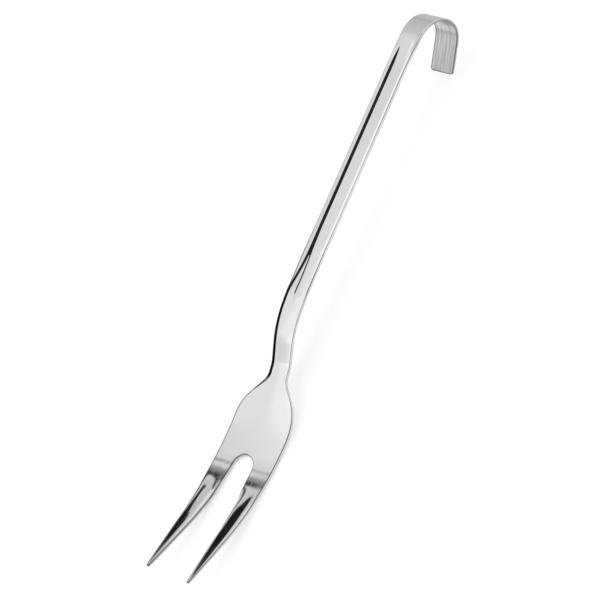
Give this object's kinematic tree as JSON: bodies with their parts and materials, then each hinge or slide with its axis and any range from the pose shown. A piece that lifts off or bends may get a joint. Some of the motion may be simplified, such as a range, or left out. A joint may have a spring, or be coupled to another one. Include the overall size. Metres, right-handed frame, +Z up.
{
  "type": "serving fork",
  "caption": "Long polished steel serving fork: a dished blade with swept tapering tines, a cranked neck, a channelled handle and a hook at the end for hanging.",
  "frame": {"origin": "under the middle of the whole fork, on the table that it lies on", "axes": "+X along the fork from the tine tips to the hook, +Z up out of its face, Y across it; the fork mirrors itself across the plane Y = 0"},
  "size_m": [0.3542, 0.0424, 0.0426],
  "materials": {
    "steel": "mirror-polished stainless steel"
  },
  "bodies": {
    "root": {"hook_leg": "steel", "hook_bend": "steel", "handle": "steel", "neck": "steel", "blade": "steel", "tine_left": "steel", "tine_right": "steel"}
  },
  "joints": []
}
